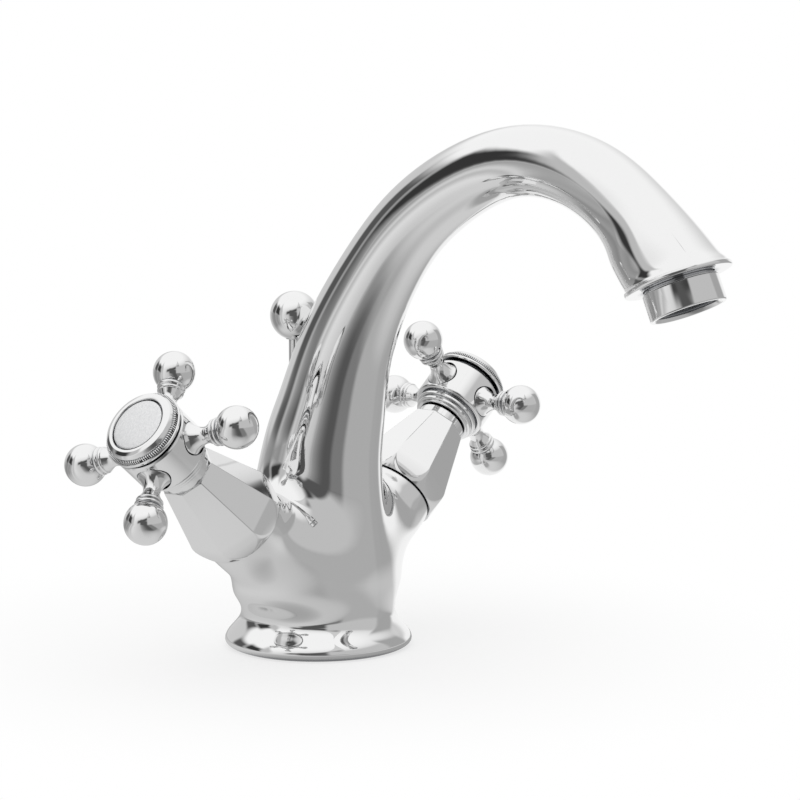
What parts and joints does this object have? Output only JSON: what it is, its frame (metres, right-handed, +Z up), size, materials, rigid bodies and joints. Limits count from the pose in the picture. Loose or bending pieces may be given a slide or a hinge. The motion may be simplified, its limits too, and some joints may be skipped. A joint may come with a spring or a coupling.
{
  "type": "bathroom mixer faucet",
  "caption": "Deck-mounted basin mixer faucet with a swan-neck spout, two cross handles on inclined octagonal valves, an aerator and a pop-up waste lift rod.",
  "frame": {"origin": "centre of the foot's underside, on the mounting surface", "axes": "+Z up; the spout reaches towards -Y; the hot valve is on the -X side, the cold valve on the +X side; the lift rod is on the +Y side"},
  "size_m": [0.1972, 0.1943, 0.1752],
  "materials": {
    "chrome": "polished chrome plate on brass",
    "brass": "machined brass",
    "steel": "plain stainless steel",
    "ceramic": "lapped alumina ceramic",
    "enamel": "glossy off-white cover disc",
    "plastic": "grey acetal",
    "rubber": "black moulded rubber"
  },
  "bodies": {
    "body": {"aerator_housing": "chrome", "aerator_insert": "plastic", "aerator_washer": "rubber", "base_gasket": "rubber", "body_casting": "chrome", "cold_fixed_disc": "ceramic", "cold_headwork": "brass", "cold_headwork_washer": "plastic", "cold_seat_seal": "rubber", "cold_shroud": "chrome", "hot_fixed_disc": "ceramic", "hot_headwork": "brass", "hot_headwork_washer": "plastic", "hot_seat_seal": "rubber", "hot_shroud": "chrome", "rod_guide": "plastic"},
    "hot_handle": {"hot_handle_arm_1": "chrome", "hot_handle_arm_2": "chrome", "hot_handle_arm_3": "chrome", "hot_handle_arm_4": "chrome", "hot_handle_hub": "chrome", "hot_handle_screw": "steel", "hot_index_disc": "enamel", "hot_index_ring": "chrome", "hot_moving_disc": "ceramic", "hot_spindle": "brass"},
    "cold_handle": {"cold_handle_arm_1": "chrome", "cold_handle_arm_2": "chrome", "cold_handle_arm_3": "chrome", "cold_handle_arm_4": "chrome", "cold_handle_hub": "chrome", "cold_handle_screw": "steel", "cold_index_disc": "enamel", "cold_index_ring": "chrome", "cold_moving_disc": "ceramic", "cold_spindle": "brass"},
    "lift": {"lift_knob": "chrome", "lift_rod": "chrome"}
  },
  "joints": [
    {"name": "hot_valve", "type": "hinge", "parent": "body", "child": "hot_handle", "pos_m": [-0.07443, 0, 0.07514], "axis": [-0.7793, 0, 0.6266], "range_deg": [0, 90]},
    {"name": "cold_valve", "type": "hinge", "parent": "body", "child": "cold_handle", "pos_m": [0.07443, 0, 0.07514], "axis": [-0.7793, 0, -0.6266], "range_deg": [0, 90]},
    {"name": "lift_slide", "type": "slide", "parent": "body", "child": "lift", "axis": [0, 0, 1], "range_m": [0, 0.025]}
  ]
}
